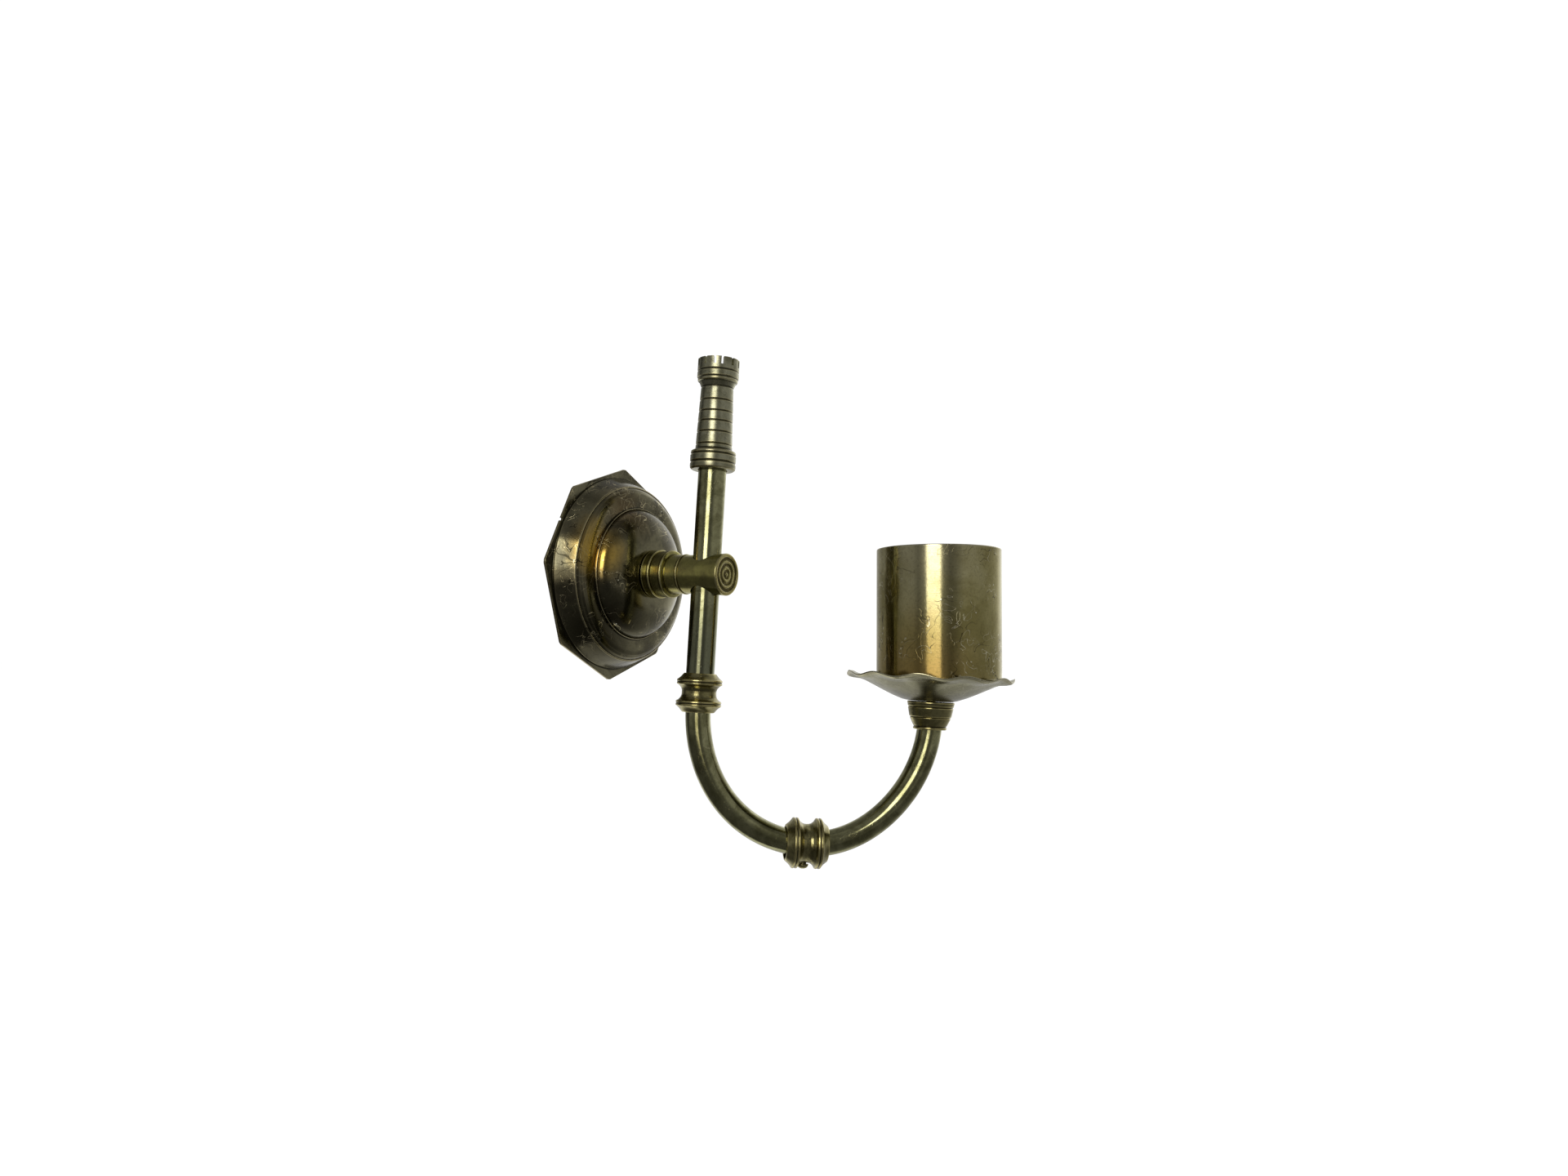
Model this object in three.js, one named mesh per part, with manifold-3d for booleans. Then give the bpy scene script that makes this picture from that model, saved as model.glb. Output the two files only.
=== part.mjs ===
// Swing-arm wall sconce for one pillar candle, in antique brass.
// Millimetres, +Z up. The wall is the plane y = 0 and the sconce stands out towards -Y.
// The origin is the centre of the octagonal rose's back face.
import * as THREE from "three";
import { mergeVertices } from "three/addons/utils/BufferGeometryUtils.js";
import Module from "manifold-3d";

// ---- driving dimensions ----
const GAP = 0.3; // air left between pieces that touch or pass through each other

const STEM_OFFSET = 48.9; // wall to the stem's axis
const ARM_SWING = 38.5; // degrees between the arm and the wall's normal as drawn
const ARM_REACH = 100; // stem axis to neck axis

const ROSE_RADIUS = 47.1; // centre to a corner of the octagon
const ROSE_TURN = -1; // degrees the octagon is turned from corner-up
const ROSE_RIM = 1; // thickness of the flat octagonal border
const ROSE_WALL = 1.5; // wall of the domed middle
const DOME_RADIUS = 42.1;
const STEP_RADIUS = 28.1; // foot of the inner dome
const STEP_HEIGHT = 13.2;
const FLAT_RADIUS = 9.5; // flat that the post sits on
const FLAT_HEIGHT = 21.4;

const STRAP_THICKNESS = 1.6;
const STRAP_WIDTH = 14;
const STRAP_SCREWS = 31; // centre to each strap screw
const KEYHOLE_HEIGHT = 17; // centre to the keyhole's round end
const KEYHOLE_RADIUS = 4.5;
const KEYHOLE_SLOT = 2.3; // half the width of the slot
const KEYHOLE_RUN = 7;

const STUD_RADIUS = 3.9; // M8 tail of the post
const POST_SHOULDER = 26.3; // wall to the post's own shoulder
const POST_RADIUS = 8.4;
const POST_END = 59.6; // wall to the post's turned end

const TUBE_RADIUS = 6; // 12 mm brass tube
const TUBE_BORE = 4.8;
const ARM_FLAT = 5.3; // half thickness of the bent tube across its bend
const STUD_IN_TUBE = 3.9; // radius of the studs that join the tubes
const SLEEVE_BORE = 6.3; // bore that takes the tube's end
const GROOVE_RADIUS = 5; // clamp groove around the stem

const FINIAL_FOOT = 44.4; // heights on the stem, above the post's axis
const FINIAL_TOP = 92;
const CROWN_DEPTH = 3.4;
const KNOP_CENTRE = -49.95;
const KNOP_HALF = 8.15;
const BOTTOM_KNOP_SCALE = 1.1;
const BOTTOM_KNOP_AT = 48.8; // along the reach
const BOTTOM_KNOP_LIFT = 0.3; // its axis above the lowest point of the centre line
const BEND_TOP = -55.5; // where the bend begins and ends
const BEND_DEPTH = 55.4; // from there to the lowest point of the centre line
const BEND_BULGE = 0.7; // the inner bend swells out by this and the outer one is drawn in by it
const TUBES_MEET = 51.3; // along the reach, inside the bottom knop
const LOCK_SCREW_AT = 47.8;

const NECK_FOOT = -60.4;
const NECK_TOP = -48.5;
const PAN_CENTRE = 99.2; // the pan sits a little inboard of the neck
const PAN_RADIUS = 36;
const PAN_LOBES = 11;
const PAN_WAVE = 0.8; // half the height of the rim's wave
const PAN_CREST = -112.6; // degrees to one crest

const CUP_CENTRE = 103.1; // the cup sits outboard of the neck
const CUP_FOOT = -39.3;
const CUP_LEAN = 2.8; // degrees, its top towards the stem
const CUP_RADIUS = 26.95;
const CUP_WALL = 1.2;
const CUP_HEIGHT = 56.8;
const WELL_RADIUS = 7.3; // well in the cup's floor that keeps the screw's head under the candle
const WELL_DEPTH = 4.8;
const SCREW_RADIUS = 2; // M4 screw that clamps the cup

// ---- finishes ----
const antiqueBrass = new THREE.MeshStandardMaterial({ color: 0x7d6e43, roughness: 0.34, metalness: 1 });
const darkBrass = new THREE.MeshStandardMaterial({ color: 0x55472b, roughness: 0.38, metalness: 1 });
const paleBrass = new THREE.MeshStandardMaterial({ color: 0x8f804c, roughness: 0.28, metalness: 1 });
const zincSteel = new THREE.MeshStandardMaterial({ color: 0xa8abad, roughness: 0.4, metalness: 1 });

// ---- solids ----
const wasm = await Module();
wasm.setup();

function solidOf(geometry) {
  const bare = geometry.clone();
  bare.deleteAttribute("normal");
  bare.deleteAttribute("uv");
  const merged = mergeVertices(bare, 1e-4);
  return new wasm.Manifold(
    new wasm.Mesh({
      numProp: 3,
      vertProperties: new Float32Array(merged.attributes.position.array),
      triVerts: new Uint32Array(merged.index.array),
    }),
  );
}

function geometryOf(solid) {
  const mesh = solid.getMesh();
  const geometry = new THREE.BufferGeometry();
  geometry.setAttribute("position", new THREE.BufferAttribute(mesh.vertProperties, 3));
  geometry.setIndex(new THREE.BufferAttribute(mesh.triVerts, 1));
  return geometry;
}

// Takes each of the cutters out of a geometry.
function cut(geometry, ...cutters) {
  let solid = solidOf(geometry);
  for (const cutter of cutters) {
    solid = solid.subtract(solidOf(cutter));
  }
  return geometryOf(solid);
}

// Joins the additions to a geometry.
function join(geometry, ...additions) {
  let solid = solidOf(geometry);
  for (const addition of additions) {
    solid = solid.add(solidOf(addition));
  }
  return geometryOf(solid);
}

// A piece turned about Z from [radius, height] points.
function turned(profile, sides = 24) {
  const points = profile.map(([radius, height]) => new THREE.Vector2(radius, height));
  return new THREE.LatheGeometry(points, sides).rotateX(Math.PI / 2);
}

// A round bar about Z, from one height to another.
function rod(radius, bottom, top, sides = 16) {
  const bar = new THREE.CylinderGeometry(radius, radius, top - bottom, sides);
  return bar.rotateX(Math.PI / 2).translate(0, 0, (top + bottom) / 2);
}

// A round tube about Z.
function ring(outer, bore, bottom, top, sides = 24) {
  const profile = [
    [outer, bottom],
    [outer, top],
    [bore, top],
    [bore, bottom],
    [outer, bottom],
  ];
  return turned(profile, sides);
}

// Points on a quarter ellipse from its widest point up to its highest.
function dome(centreRadius, centreHeight, radiusReach, heightReach, steps) {
  const points = [];
  for (let i = 0; i <= steps; i += 1) {
    const angle = (i / steps) * (Math.PI / 2);
    points.push([
      centreRadius + radiusReach * Math.cos(angle),
      centreHeight + heightReach * Math.sin(angle),
    ]);
  }
  return points;
}

const sconce = new THREE.Group();
const wallMount = new THREE.Group(); // local +Z stands out from the wall, local +Y is up
wallMount.rotation.x = Math.PI / 2;
const arm = new THREE.Group(); // local Z is the stem's axis, local +X runs out along the arm
arm.position.y = -STEM_OFFSET;
arm.rotation.z = THREE.MathUtils.degToRad(ARM_SWING - 90);
const cupGroup = new THREE.Group(); // local Z is the cup's own axis, from the underside of its floor
cupGroup.position.set(CUP_CENTRE, 0, CUP_FOOT);
cupGroup.rotation.y = THREE.MathUtils.degToRad(-CUP_LEAN);
arm.add(cupGroup);
sconce.add(wallMount, arm);

function place(group, name, geometry, material) {
  const mesh = new THREE.Mesh(geometry, material);
  mesh.name = name;
  group.add(mesh);
  return mesh;
}

// ---- rose: a cast octagon with a stepped dome, hollow behind ----
function makeRose() {
  const corners = [];
  for (let i = 0; i < 8; i += 1) {
    const angle = (i * Math.PI) / 4 + THREE.MathUtils.degToRad(ROSE_TURN);
    corners.push(new THREE.Vector2(ROSE_RADIUS * Math.cos(angle), ROSE_RADIUS * Math.sin(angle)));
  }
  const border = new THREE.ExtrudeGeometry(new THREE.Shape(corners), {
    depth: ROSE_RIM,
    bevelEnabled: false,
  });
  const innerSpring = 12.3; // height at which the inner dome springs
  const shoulderHeight = 12.2;
  const outside = turned(
    [
      [0, ROSE_RIM / 2],
      [DOME_RADIUS, ROSE_RIM / 2],
      [41.9, 2.3],
      [41.2, 4],
      [40.5, 6],
      [39.5, 8],
      [38.3, 9.8],
      [37.5, 10.1],
      [36.8, 10.8],
      [35.6, 11.55],
      [34, 12.05],
      [STEP_RADIUS + 0.7, shoulderHeight],
      [STEP_RADIUS + 0.5, STEP_HEIGHT],
      ...dome(FLAT_RADIUS, innerSpring, STEP_RADIUS - FLAT_RADIUS, FLAT_HEIGHT - innerSpring, 6),
      [0, FLAT_HEIGHT],
    ],
    48,
  );
  const insideStep = STEP_RADIUS - ROSE_WALL;
  const hollow = turned(
    [
      [0, -1],
      [40.5, -1],
      [40.4, 1.5],
      [39.1, 5.6],
      [37.9, 7.7],
      [36.6, 9],
      [34.8, 10],
      [32, shoulderHeight - ROSE_WALL],
      [insideStep, shoulderHeight - ROSE_WALL],
      ...dome(
        FLAT_RADIUS,
        innerSpring,
        insideStep - FLAT_RADIUS,
        FLAT_HEIGHT - ROSE_WALL - innerSpring,
        4,
      ),
      [0, FLAT_HEIGHT - ROSE_WALL],
    ],
    32,
  );
  const shell = cut(join(border, outside), hollow, rod(STUD_RADIUS + GAP, 10, 30));
  const lugs = [1, -1].map((side) =>
    rod(3.6, STRAP_THICKNESS + GAP, shoulderHeight - 1).translate(0, side * STRAP_SCREWS, 0),
  );
  const screwHoles = [1, -1].map((side) =>
    rod(1.5 + GAP, 0, 8.6, 12).translate(0, side * STRAP_SCREWS, 0),
  );
  // A level saw cut through the border, from its edge to the foot of the dome.
  const sawCut = new THREE.BoxGeometry(8.5, 1.1, 8).translate(-42.25, 19.1, ROSE_RIM / 2);
  return cut(join(shell, ...lugs), ...screwHoles, sawCut);
}
place(wallMount, "rose", makeRose(), darkBrass);

// ---- hanging strap: a steel bar across the rose's back, with a keyhole for the wall screw ----
function makeStrap() {
  const bar = new THREE.BoxGeometry(STRAP_WIDTH, 2 * STRAP_SCREWS + 13, STRAP_THICKNESS);
  bar.translate(0, 0, STRAP_THICKNESS / 2);
  const below = -1;
  const above = STRAP_THICKNESS + 1;
  const eye = rod(KEYHOLE_RADIUS, below, above, 24).translate(0, KEYHOLE_HEIGHT, 0);
  const slot = new THREE.BoxGeometry(2 * KEYHOLE_SLOT, KEYHOLE_RUN, above - below)
    .translate(0, KEYHOLE_HEIGHT + KEYHOLE_RUN / 2, (above + below) / 2);
  const slotEnd = rod(KEYHOLE_SLOT, below, above, 16).translate(0, KEYHOLE_HEIGHT + KEYHOLE_RUN, 0);
  const sinks = [1, -1].map((side) =>
    turned(
      [
        [0, below],
        [3.4, below],
        [3.4, 0.2],
        [1.9, STRAP_THICKNESS - 0.1],
        [1.9, above],
        [0, above],
      ],
      16,
    ).translate(0, side * STRAP_SCREWS, 0),
  );
  return cut(bar, eye, slot, slotEnd, ...sinks);
}
place(wallMount, "hanging_strap", makeStrap(), zincSteel);

const strapScrew = turned(
  [
    [0, 0.1],
    [2.9, 0.1],
    [2.9, 0.3],
    [1.5, STRAP_THICKNESS],
    [1.5, 8],
    [0, 8],
  ],
  12,
);
for (const [name, side] of [["strap_screw_upper", 1], ["strap_screw_lower", -1]]) {
  place(wallMount, name, strapScrew, zincSteel).position.y = side * STRAP_SCREWS;
}

// ---- post: turned arm that stands out of the rose and carries the stem in a cross bore ----
const postCollar = turned([
  [STUD_RADIUS + GAP, FLAT_HEIGHT + GAP],
  [10.2, FLAT_HEIGHT + GAP],
  [10.45, 22.1],
  [10.3, 22.6],
  [10.3, 24.9],
  [10.5, 25.2],
  [10.5, 25.7],
  [10.2, POST_SHOULDER - GAP],
  [STUD_RADIUS + GAP, POST_SHOULDER - GAP],
  [STUD_RADIUS + GAP, FLAT_HEIGHT + GAP],
]);
place(wallMount, "post_collar", postCollar, paleBrass);

const STUD_TAIL = 13.2; // wall to the end of the post's threaded tail
const CLAMP_BORE = 2.1;

function makePost() {
  const bead = POST_END - 2.2;
  const body = turned([
    [0, STUD_TAIL],
    [STUD_RADIUS, STUD_TAIL],
    [STUD_RADIUS, POST_SHOULDER],
    [9.7, POST_SHOULDER],
    [9.95, 26.7],
    [9.95, 30.9],
    [10.2, 31.2],
    [10.2, 31.7],
    [9.7, 32],
    [POST_RADIUS, 32.3],
    [POST_RADIUS, 38.3],
    [POST_RADIUS + 0.25, 38.5],
    [POST_RADIUS + 0.25, 38.9],
    [POST_RADIUS - 0.3, 39.2],
    [POST_RADIUS - 0.1, 39.7],
    [POST_RADIUS - 0.15, 49],
    [POST_RADIUS + 0.1, 54],
    [POST_RADIUS + 0.4, bead],
    [POST_RADIUS + 0.5, POST_END - 0.4],
    [POST_RADIUS + 0.2, POST_END],
    [7.5, POST_END],
    [7.2, POST_END - 0.5],
    [6, POST_END - 0.5],
    [5.6, POST_END - 0.2],
    [5, POST_END - 0.2],
    [4.6, POST_END - 0.6],
    [3.4, POST_END - 0.6],
    [3, POST_END - 0.3],
    [2.4, POST_END - 0.3],
    [2, POST_END - 0.6],
    [1, POST_END - 0.6],
    [0.6, POST_END - 0.2],
    [0, POST_END - 0.2],
  ]);
  const crossBore = rod(TUBE_RADIUS + GAP, -20, 20, 32)
    .rotateX(-Math.PI / 2)
    .translate(0, 0, STEM_OFFSET);
  return cut(body, rod(CLAMP_BORE, 10, STEM_OFFSET), crossBore);
}
place(wallMount, "post", makePost(), paleBrass);

const behindFlat = FLAT_HEIGHT - ROSE_WALL - GAP;
const washerThickness = 1.2;
const nutTop = behindFlat - washerThickness - GAP;
const nutFoot = STUD_TAIL + 0.8;
const postWasher = ring(8.4, STUD_RADIUS + GAP, behindFlat - washerThickness, behindFlat);
place(wallMount, "post_washer", postWasher, zincSteel);
const postNut = cut(rod(7.5, nutFoot, nutTop, 6), rod(STUD_RADIUS + GAP, nutFoot - 1, nutTop + 1));
place(wallMount, "post_nut", postNut, zincSteel);

// Grub screw up the middle of the post: its tip runs in the stem's groove, so the arm turns
// but can't drop, and a turn of the screw sets how stiffly it turns.
const clampTip = STEM_OFFSET - GROOVE_RADIUS - 0.4;
place(wallMount, "clamp_screw", rod(CLAMP_BORE - GAP, clampTip - 28, clampTip), zincSteel);

// ---- stem: straight tube that turns in the post ----
const stemFoot = KNOP_CENTRE + GAP;
const stemHead = FINIAL_FOOT + 7;
const stemGroove = ring(TUBE_RADIUS + 1, GROOVE_RADIUS, -2.2, 2.2, 32);
const stemTube = cut(
  ring(TUBE_RADIUS, TUBE_BORE, stemFoot, stemHead, 32),
  stemGroove,
);
place(arm, "stem_tube", stemTube, antiqueBrass);

// ---- finial: a turned castle tower screwed on top of the stem ----
const CROWN_CUTS = [-39, -11.5, 10.5, 41, 72, 103, 134, 165, 196, 227, 258, 289]; // degrees
const CROWN_TURN = -93.7; // degrees from the arm's line to the middle of the first cuts

function makeFinial() {
  const socketEnd = stemHead + GAP;
  const studEnd = socketEnd + 7;
  const shaftGrooves = [55.1, 60.4, 65, 69.3, 74.1];
  const shaftFoot = 53.2;
  const shaftHead = 79.3;
  const shaftRadius = (height) => 7.85 - (0.9 * (height - shaftFoot)) / (shaftHead - shaftFoot);
  const shaft = shaftGrooves.flatMap((height) => [
    [shaftRadius(height), height - 0.45],
    [shaftRadius(height) - 0.35, height],
    [shaftRadius(height), height + 0.45],
  ]);
  const tower = turned([
    [0, studEnd],
    [TUBE_BORE, studEnd],
    [TUBE_BORE, socketEnd],
    [SLEEVE_BORE, socketEnd],
    [SLEEVE_BORE, FINIAL_FOOT],
    [8.9, FINIAL_FOOT],
    [9.6, 45],
    [9.75, 45.9],
    [9.7, 47],
    [9.2, 47.5],
    [9.75, 48],
    [9.75, 50.4],
    [9.2, 50.9],
    [9.7, 51.4],
    [9.5, 52.3],
    [8.3, 52.9],
    [7.85, shaftFoot],
    ...shaft,
    [6.95, shaftHead],
    [6.75, 79.8],
    [7.1, 80.3],
    [7.6, 81.5],
    [7.9, 82.1],
    [8.5, 82.5],
    [8.6, 83.3],
    [8.4, 83.7],
    [8.9, 84.1],
    [8.9, 86.3],
    [8.55, 86.75],
    [8.9, 87.2],
    [8.9, FINIAL_TOP],
    [6.5, FINIAL_TOP],
    [6.5, FINIAL_TOP - CROWN_DEPTH],
    [0, FINIAL_TOP - CROWN_DEPTH],
  ]);
  const cuts = CROWN_CUTS.map((angle) =>
    new THREE.BoxGeometry(5, 1.15, 8)
      .translate(7.7, 0, FINIAL_TOP - CROWN_DEPTH + 4.1)
      .rotateZ(THREE.MathUtils.degToRad(angle + CROWN_TURN)),
  );
  return cut(tower, ...cuts);
}
place(arm, "finial", makeFinial(), antiqueBrass);
place(arm, "finial_stud", rod(STUD_IN_TUBE, stemHead - 10, stemHead + 6), darkBrass);

// ---- knops: turned sleeves that cover the joints between the tubes ----
// The profile runs up one half and down the other, mirrored about the waist.
function knop(scale, bore) {
  const half = [
    [7.26, 0],
    [7.6, 1.8],
    [8.6, 3],
    [9.5, 3.5],
    [9.6, 4],
    [9.35, 4.45],
    [9.6, 4.9],
    [9.55, 5.4],
    [8.6, 6.1],
    [7.3, 7.5],
    [6.75, KNOP_HALF],
  ];
  const upper = half.map(([radius, height]) => [radius * scale, height * scale]);
  const lower = upper.slice(1).reverse().map(([radius, height]) => [radius, -height]);
  const end = KNOP_HALF * scale;
  return turned([[bore, -end], ...lower, ...upper, [bore, end], [bore, -end]]);
}
place(arm, "mid_knop", knop(1, SLEEVE_BORE), paleBrass).position.z = KNOP_CENTRE;
place(arm, "mid_nipple", rod(STUD_IN_TUBE, KNOP_CENTRE - 4.6, KNOP_CENTRE + 6), darkBrass);

// ---- bent arm: two tubes on one half ellipse, met inside the bottom knop ----
const bendReach = ARM_REACH / 2;
const lowest = BEND_TOP - BEND_DEPTH;

// From the lowest end up the half ellipse and on up a short straight end.
class ArmLine extends THREE.Curve {
  constructor(side, start, top) {
    super();
    this.side = side; // -1 towards the stem, 1 towards the neck
    this.firstAngle = Math.asin((start * side) / bendReach);
    this.straight = top - BEND_TOP;
    this.bend = (Math.PI / 2 - this.firstAngle) * bendReach;
  }
  getPoint(t) {
    const run = t * (this.bend + this.straight);
    if (run > this.bend) {
      const rise = run - this.bend;
      return new THREE.Vector3(bendReach + this.side * bendReach, 0, BEND_TOP + rise);
    }
    const angle = this.firstAngle + run / bendReach;
    const bulge = -this.side * BEND_BULGE * Math.sin(2 * angle) ** 2;
    return new THREE.Vector3(
      bendReach + this.side * (bendReach + bulge) * Math.sin(angle),
      0,
      BEND_TOP - (BEND_DEPTH + bulge) * Math.cos(angle),
    );
  }
}

function bentTube(line, steps) {
  // The section's first axis stands across the bend's plane and its second lies in it.
  const outline = (across, along, count) => {
    const points = [];
    for (let i = 0; i < count; i += 1) {
      const angle = (i / count) * 2 * Math.PI;
      points.push(new THREE.Vector2(across * Math.cos(angle), along * Math.sin(angle)));
    }
    return points;
  };
  const section = new THREE.Shape(outline(TUBE_RADIUS, ARM_FLAT, 20));
  section.holes.push(new THREE.Path(outline(TUBE_BORE, ARM_FLAT - 1.2, 12).reverse()));
  return new THREE.ExtrudeGeometry(section, { steps, extrudePath: line, bevelEnabled: false });
}
const meet = TUBES_MEET - bendReach;
const innerLine = new ArmLine(-1, meet - GAP, KNOP_CENTRE - GAP);
const outerLine = new ArmLine(1, meet + GAP, NECK_FOOT + 6);
const lockHole = rod(1.5 + GAP, lowest - 9, lowest + 1, 12).translate(LOCK_SCREW_AT, 0, 0);
place(arm, "inner_arm_tube", cut(bentTube(innerLine, 22), lockHole), antiqueBrass);
place(arm, "outer_arm_tube", bentTube(outerLine, 20), antiqueBrass);

const bottomBore = SLEEVE_BORE + 0.5; // wide enough for the curve of the tubes inside it
const lockHeadRadius = 2.45;
const lockSeat = lowest - 8.3;
const lockPocket = rod(lockHeadRadius + GAP, lockSeat - 5, lockSeat + GAP)
  .translate(LOCK_SCREW_AT, 0, 0);
const bottomKnop = cut(
  knop(BOTTOM_KNOP_SCALE, bottomBore)
    .rotateY(Math.PI / 2)
    .translate(BOTTOM_KNOP_AT, 0, lowest + BOTTOM_KNOP_LIFT),
  lockHole,
  lockPocket,
);
place(arm, "bottom_knop", bottomKnop, paleBrass);

const nippleHalf = 7;
const bottomNipple = rod(3.2, TUBES_MEET - nippleHalf, TUBES_MEET + nippleHalf)
  .rotateY(Math.PI / 2)
  .translate(0, 0, lowest + 0.1);
const nippleHole = rod(1.5 + GAP, lowest - 5, lowest, 12).translate(LOCK_SCREW_AT, 0, 0);
place(arm, "bottom_nipple", cut(bottomNipple, nippleHole), darkBrass);

const lockScrew = turned(
  [
    [0, lockSeat - 2],
    [lockHeadRadius - 0.45, lockSeat - 2],
    [lockHeadRadius, lockSeat - 1.5],
    [lockHeadRadius, lockSeat],
    [1.5, lockSeat],
    [1.5, lowest - 1],
    [0, lowest - 1],
  ],
  16,
).translate(LOCK_SCREW_AT, 0, 0);
place(arm, "knop_lock_screw", lockScrew, darkBrass);

// ---- neck: turned ferrule on the arm's free end, threaded for the cup's screw ----
const neckSocket = NECK_FOOT + 6 + GAP;
const neck = turned([
  [SLEEVE_BORE, NECK_FOOT],
  [6.9, NECK_FOOT],
  [7.2, -60.1],
  [7.2, -59.6],
  [6.9, -59.2],
  [7.6, -58],
  [8.8, -55.5],
  [8.5, -55.2],
  [9.05, -54.8],
  [9.75, -51.2],
  [9.45, -50.8],
  [9.9, -50.4],
  [10.05, -49.4],
  [10.2, -49.2],
  [10.2, -48.8],
  [10, NECK_TOP],
  [SCREW_RADIUS + GAP, NECK_TOP],
  [SCREW_RADIUS + GAP, neckSocket],
  [SLEEVE_BORE, neckSocket],
  [SLEEVE_BORE, NECK_FOOT],
]);
place(arm, "neck_ferrule", neck, paleBrass).position.x = ARM_REACH;

// ---- drip pan: spun sheet dish with a frilled rim ----
const PAN_FLOOR = NECK_TOP + GAP; // underside of the pan's flat middle
const panHole = SCREW_RADIUS + GAP + Math.abs(ARM_REACH - PAN_CENTRE);

function makePan() {
  const under = [
    [panHole, 0],
    [10, 0],
    [12, 0.45],
    [16, 1.9],
    [20, 3.7],
    [24, 5.6],
    [28, 7.5],
    [30, 8.3],
    [33, 8.8],
    [35, 9.4],
    [PAN_RADIUS, 10.2],
  ];
  const thickness = [1, 1, 1.05, 1.1, 1.1, 1.1, 1.1, 1.05, 1, 0.9, 0.5];
  const over = under.map(([radius, height], i) => [radius, height + thickness[i]]).reverse();
  const dish = turned([...under, ...over, under[0]], PAN_LOBES * 4);
  const position = dish.attributes.position;
  const frillStart = 27;
  for (let i = 0; i < position.count; i += 1) {
    const x = position.getX(i);
    const y = position.getY(i);
    const reach = Math.max(0, Math.hypot(x, y) - frillStart) / (PAN_RADIUS - frillStart);
    const angle = Math.atan2(y, x) - THREE.MathUtils.degToRad(PAN_CREST);
    const wave = PAN_WAVE * reach * Math.cos(PAN_LOBES * angle);
    position.setZ(i, position.getZ(i) + wave);
  }
  return dish;
}
place(arm, "drip_pan", makePan(), antiqueBrass).position.set(PAN_CENTRE, 0, PAN_FLOOR);

// ---- cup and what clamps it: riser, washer and screw on the neck's axis ----
const holeOffset = ARM_REACH - CUP_CENTRE; // the well and its hole are off the cup's centre
const leanRise = Math.tan(THREE.MathUtils.degToRad(CUP_LEAN));
const riserRadius = 8;
const riserFoot = PAN_FLOOR + 1 + GAP;
const riserTop = CUP_FOOT - WELL_DEPTH + (holeOffset - riserRadius) * leanRise - GAP;
const riser = ring(riserRadius, SCREW_RADIUS + GAP, riserFoot, riserTop);
place(arm, "cup_riser", riser, antiqueBrass).position.x = ARM_REACH;

const cupRim = 0.3;
const cup = turned(
  [
    [0, 0],
    [CUP_RADIUS - 0.6, 0],
    [CUP_RADIUS, 0.6],
    [CUP_RADIUS, CUP_HEIGHT - cupRim],
    [CUP_RADIUS - cupRim, CUP_HEIGHT],
    [CUP_RADIUS - CUP_WALL + cupRim, CUP_HEIGHT],
    [CUP_RADIUS - CUP_WALL, CUP_HEIGHT - cupRim],
    [CUP_RADIUS - CUP_WALL, CUP_WALL],
    [0, CUP_WALL],
  ],
  48,
);
const wellFloor = CUP_WALL - WELL_DEPTH;
const well = rod(WELL_RADIUS + CUP_WALL, -WELL_DEPTH, CUP_WALL / 2, 32).translate(holeOffset, 0, 0);
const wellHollow = rod(WELL_RADIUS, wellFloor, CUP_WALL + 1, 32).translate(holeOffset, 0, 0);
const cupHole = rod(SCREW_RADIUS + 2 * GAP, -WELL_DEPTH - 1, 0).translate(holeOffset, 0, 0);
place(cupGroup, "candle_cup", cut(join(cup, well), wellHollow, cupHole), antiqueBrass);

const washerFoot = wellFloor + GAP;
const washer = ring(6, SCREW_RADIUS + 2 * GAP, washerFoot, washerFoot + 1);
place(cupGroup, "cup_washer", washer, paleBrass).position.x = holeOffset;

const screwHeadRadius = 4;
const screwSeat = CUP_FOOT + washerFoot + 1 + (holeOffset + screwHeadRadius) * leanRise + GAP;
const cupScrew = turned(
  [
    [0, neckSocket + 1],
    [SCREW_RADIUS, neckSocket + 1],
    [SCREW_RADIUS, screwSeat],
    [screwHeadRadius, screwSeat],
    [screwHeadRadius, screwSeat + 1.4],
    [3.2, screwSeat + 2.2],
    [0, screwSeat + 2.5],
  ],
  16,
);
const driverSlot = new THREE.BoxGeometry(12, 1, 2).translate(0, 0, screwSeat + 2.3);
place(arm, "cup_screw", cut(cupScrew, driverSlot), paleBrass).position.x = ARM_REACH;

export default sconce;
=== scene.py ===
"""Swing-arm wall sconce for one pillar candle, in antique brass."""
from math import asin, atan2, cos, pi, radians, sin

import bpy
from mathutils import Matrix, Vector


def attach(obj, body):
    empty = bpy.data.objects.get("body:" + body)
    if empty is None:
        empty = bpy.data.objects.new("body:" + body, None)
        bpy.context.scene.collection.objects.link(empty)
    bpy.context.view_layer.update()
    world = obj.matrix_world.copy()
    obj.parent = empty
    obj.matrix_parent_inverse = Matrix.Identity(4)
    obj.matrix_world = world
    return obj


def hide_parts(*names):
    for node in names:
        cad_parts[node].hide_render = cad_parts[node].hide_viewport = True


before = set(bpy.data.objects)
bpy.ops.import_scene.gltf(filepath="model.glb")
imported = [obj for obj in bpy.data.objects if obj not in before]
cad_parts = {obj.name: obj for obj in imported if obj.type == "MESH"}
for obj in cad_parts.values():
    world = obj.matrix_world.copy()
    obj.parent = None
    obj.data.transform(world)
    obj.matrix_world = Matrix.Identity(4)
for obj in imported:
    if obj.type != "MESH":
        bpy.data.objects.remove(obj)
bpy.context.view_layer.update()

# ---- camera ----
# A camera half a metre from the sconce's post, to its left and a little below it. It looks slightly
# up and is turned a few degrees on its side.
camera_data = bpy.data.cameras.new("camera")
camera_data.sensor_width = 36
camera_data.lens = 27.1625
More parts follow.
